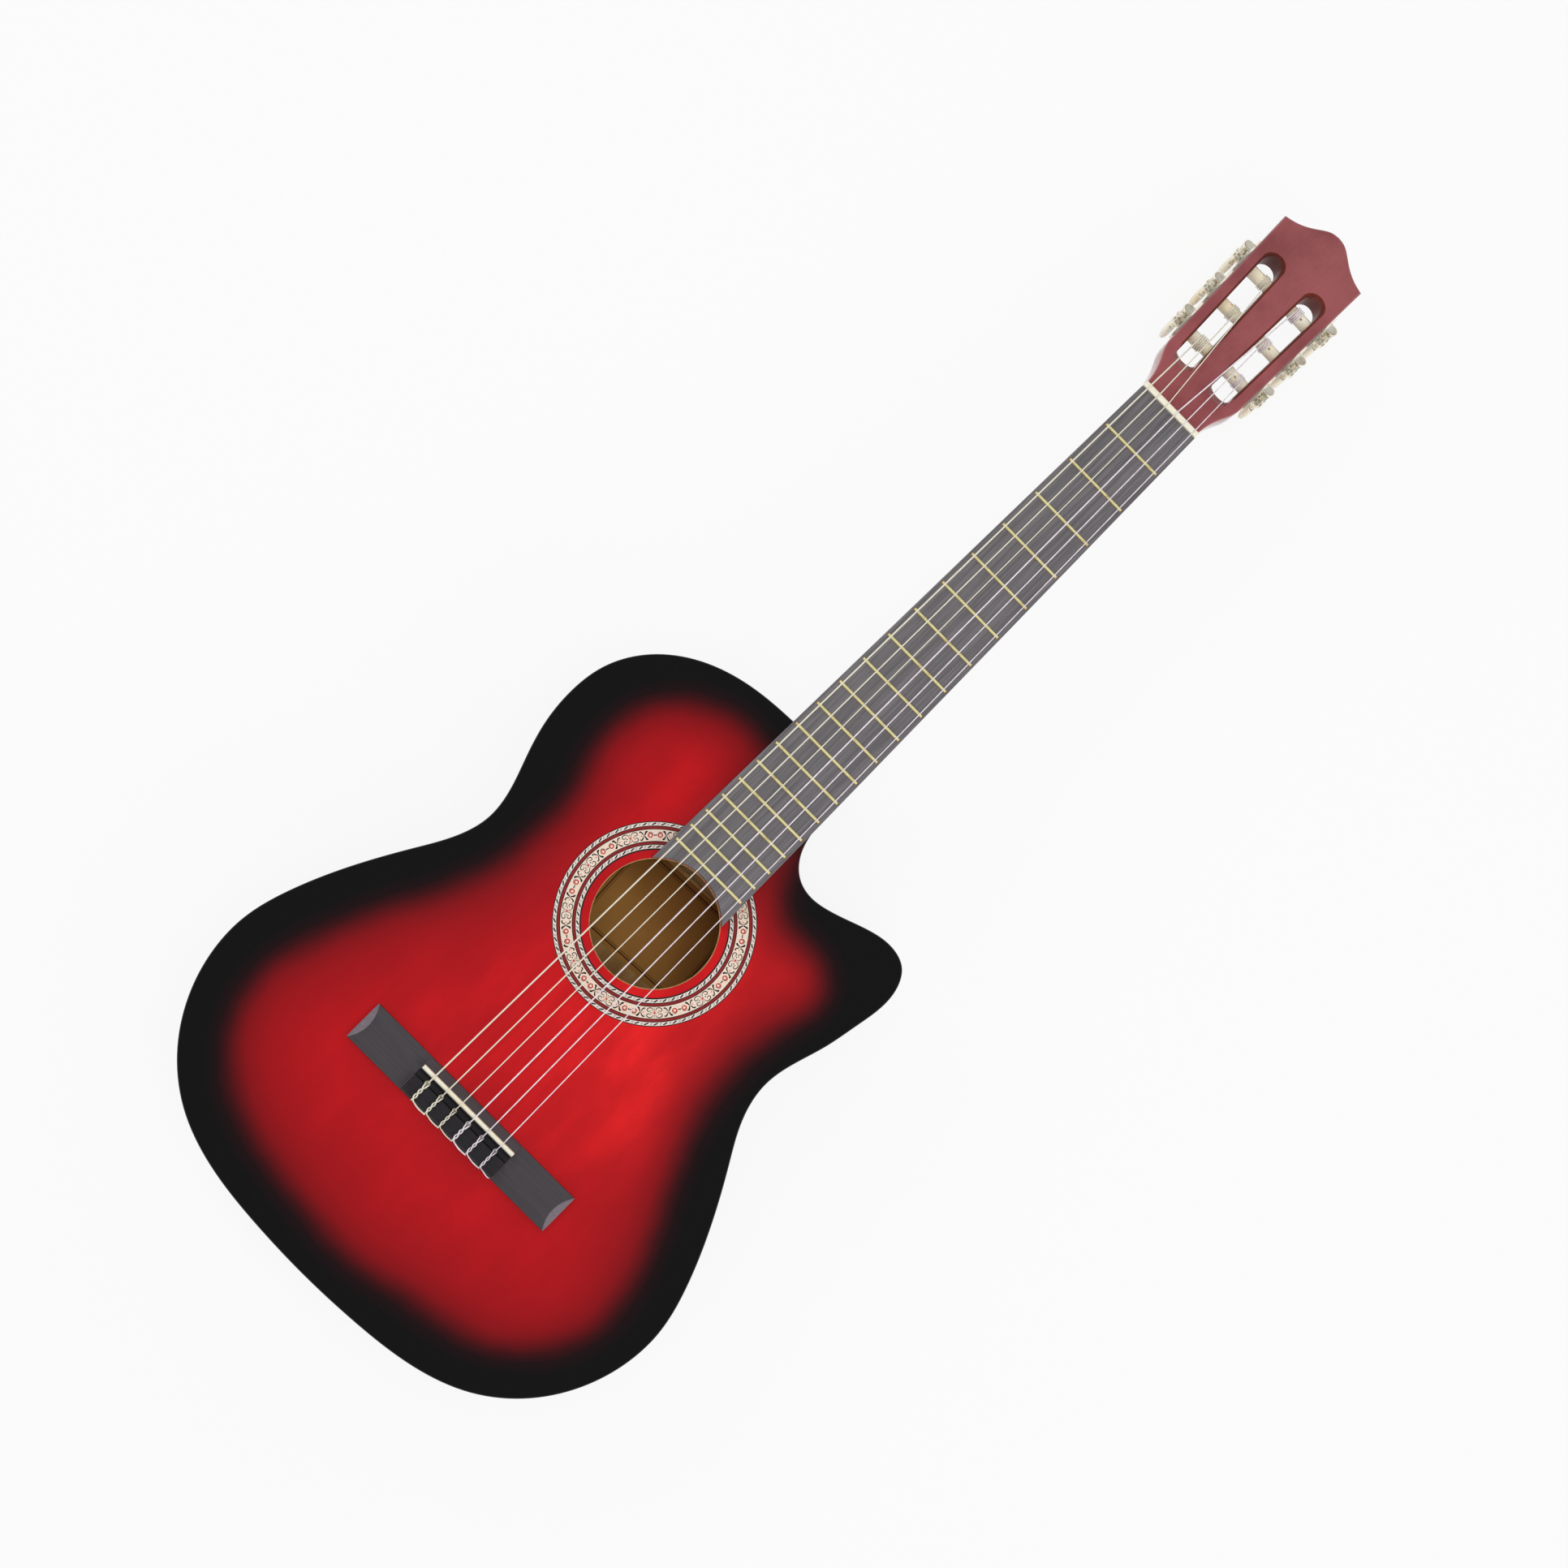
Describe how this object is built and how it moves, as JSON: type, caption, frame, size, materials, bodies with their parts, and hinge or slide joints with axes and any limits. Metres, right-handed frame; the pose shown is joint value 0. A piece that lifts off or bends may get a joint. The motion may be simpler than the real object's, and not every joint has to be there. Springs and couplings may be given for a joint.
{
  "type": "cutaway nylon-string guitar",
  "caption": "Nylon-string guitar with a cutaway body, a slotted head with worm-and-gear tuning machines, tied strings, a rosette and a red sunburst top.",
  "frame": {"origin": "on the outer face of the back plate, on the centre line, below the saddle end of the scale", "axes": "+X towards the treble side with the cutaway, +Y along the strings towards the head, +Z out of the soundboard"},
  "size_m": [0.3756, 0.9933, 0.1085],
  "materials": {
    "red_burst_lacquer": "gloss lacquer, red with a black sunburst edge",
    "black_lacquer": "gloss black lacquer",
    "wine_red_lacquer": "gloss wine-red lacquer",
    "dark_fingerboard_wood": "dark grey, satin",
    "bare_spruce": "bare wood",
    "cream_bone": "cream, polished",
    "cream_plastic": "cream moulded plastic",
    "nickel_plate": "bright nickel plating",
    "brass": "polished brass",
    "paper": "plain paper",
    "rosette_inlay": "printed inlay under lacquer",
    "clear_nylon": "clear nylon",
    "wound_string": "wire-wound over nylon"
  },
  "bodies": {
    "guitar_body": {"back_plate": "black_lacquer", "bass_back_lining": "bare_spruce", "bass_machine_plate": "nickel_plate", "bass_side": "black_lacquer", "bass_top_lining": "bare_spruce", "bridge": "dark_fingerboard_wood", "fan_strut_1": "bare_spruce", "fan_strut_2": "bare_spruce", "fan_strut_3": "bare_spruce", "fan_strut_4": "bare_spruce", "fan_strut_5": "bare_spruce", "fingerboard": "dark_fingerboard_wood", "label": "paper", "lower_back_bar": "bare_spruce", "lower_harmonic_bar": "bare_spruce", "neck": "wine_red_lacquer", "neck_block": "bare_spruce", "nut": "cream_bone", "rosette": "rosette_inlay", "saddle": "cream_bone", "soundboard": "red_burst_lacquer", "strap_button": "brass", "string_1": "clear_nylon", "string_2": "clear_nylon", "string_3": "clear_nylon", "string_4": "wound_string", "string_5": "wound_string", "string_6": "wound_string", "tail_block": "bare_spruce", "treble_back_lining": "bare_spruce", "treble_machine_plate": "nickel_plate", "treble_side": "black_lacquer", "treble_top_lining": "bare_spruce", "upper_back_bar": "bare_spruce", "upper_harmonic_bar": "bare_spruce"},
    "roller_treble_1": {"roller_treble_1": "cream_plastic", "gear_treble_1": "nickel_plate"},
    "worm_treble_1": {"worm_treble_1": "nickel_plate", "button_treble_1": "cream_plastic"},
    "roller_treble_2": {"roller_treble_2": "cream_plastic", "gear_treble_2": "nickel_plate"},
    "worm_treble_2": {"worm_treble_2": "nickel_plate", "button_treble_2": "cream_plastic"},
    "roller_treble_3": {"roller_treble_3": "cream_plastic", "gear_treble_3": "nickel_plate"},
    "worm_treble_3": {"worm_treble_3": "nickel_plate", "button_treble_3": "cream_plastic"},
    "roller_bass_1": {"roller_bass_1": "cream_plastic", "gear_bass_1": "nickel_plate"},
    "worm_bass_1": {"worm_bass_1": "nickel_plate", "button_bass_1": "cream_plastic"},
    "roller_bass_2": {"roller_bass_2": "cream_plastic", "gear_bass_2": "nickel_plate"},
    "worm_bass_2": {"worm_bass_2": "nickel_plate", "button_bass_2": "cream_plastic"},
    "roller_bass_3": {"roller_bass_3": "cream_plastic", "gear_bass_3": "nickel_plate"},
    "worm_bass_3": {"worm_bass_3": "nickel_plate", "button_bass_3": "cream_plastic"}
  },
  "joints": [
    {"name": "roller_treble_1_turn", "type": "hinge", "parent": "guitar_body", "child": "roller_treble_1", "pos_m": [0.03413, 0.70832, 0.07497], "axis": [0.9995, -0.0298, 0.0066], "continuous": true},
    {"name": "button_treble_1_turn", "type": "hinge", "parent": "guitar_body", "child": "worm_treble_1", "pos_m": [0.0394, 0.71695, 0.07306], "axis": [0, 0.2164, 0.9763], "continuous": true},
    {"name": "roller_treble_2_turn", "type": "hinge", "parent": "guitar_body", "child": "roller_treble_2", "pos_m": [0.0352, 0.74249, 0.0674], "axis": [0.9995, -0.0298, 0.0066], "continuous": true},
    {"name": "button_treble_2_turn", "type": "hinge", "parent": "guitar_body", "child": "worm_treble_2", "pos_m": [0.04047, 0.75113, 0.06548], "axis": [0, 0.2164, 0.9763], "continuous": true},
    {"name": "roller_treble_3_turn", "type": "hinge", "parent": "guitar_body", "child": "roller_treble_3", "pos_m": [0.03626, 0.77666, 0.05982], "axis": [0.9995, -0.0298, 0.0066], "continuous": true},
    {"name": "button_treble_3_turn", "type": "hinge", "parent": "guitar_body", "child": "worm_treble_3", "pos_m": [0.04154, 0.78529, 0.05791], "axis": [0, 0.2164, 0.9763], "continuous": true},
    {"name": "roller_bass_1_turn", "type": "hinge", "parent": "guitar_body", "child": "roller_bass_1", "pos_m": [-0.03413, 0.70832, 0.07497], "axis": [-0.9995, -0.0298, 0.0066], "continuous": true},
    {"name": "button_bass_1_turn", "type": "hinge", "parent": "guitar_body", "child": "worm_bass_1", "pos_m": [-0.0394, 0.71695, 0.07306], "axis": [0, 0.2164, 0.9763], "continuous": true},
    {"name": "roller_bass_2_turn", "type": "hinge", "parent": "guitar_body", "child": "roller_bass_2", "pos_m": [-0.0352, 0.74249, 0.0674], "axis": [-0.9995, -0.0298, 0.0066], "continuous": true},
    {"name": "button_bass_2_turn", "type": "hinge", "parent": "guitar_body", "child": "worm_bass_2", "pos_m": [-0.04047, 0.75113, 0.06548], "axis": [0, 0.2164, 0.9763], "continuous": true},
    {"name": "roller_bass_3_turn", "type": "hinge", "parent": "guitar_body", "child": "roller_bass_3", "pos_m": [-0.03626, 0.77666, 0.05982], "axis": [-0.9995, -0.0298, 0.0066], "continuous": true},
    {"name": "button_bass_3_turn", "type": "hinge", "parent": "guitar_body", "child": "worm_bass_3", "pos_m": [-0.04154, 0.78529, 0.05791], "axis": [0, 0.2164, 0.9763], "continuous": true}
  ],
  "couplings": [
    {"joint": "button_treble_1_turn", "follows": "roller_treble_1_turn", "ratio": -14},
    {"joint": "button_treble_2_turn", "follows": "roller_treble_2_turn", "ratio": -14},
    {"joint": "button_treble_3_turn", "follows": "roller_treble_3_turn", "ratio": -14},
    {"joint": "button_bass_1_turn", "follows": "roller_bass_1_turn", "ratio": 14},
    {"joint": "button_bass_2_turn", "follows": "roller_bass_2_turn", "ratio": 14},
    {"joint": "button_bass_3_turn", "follows": "roller_bass_3_turn", "ratio": 14}
  ]
}
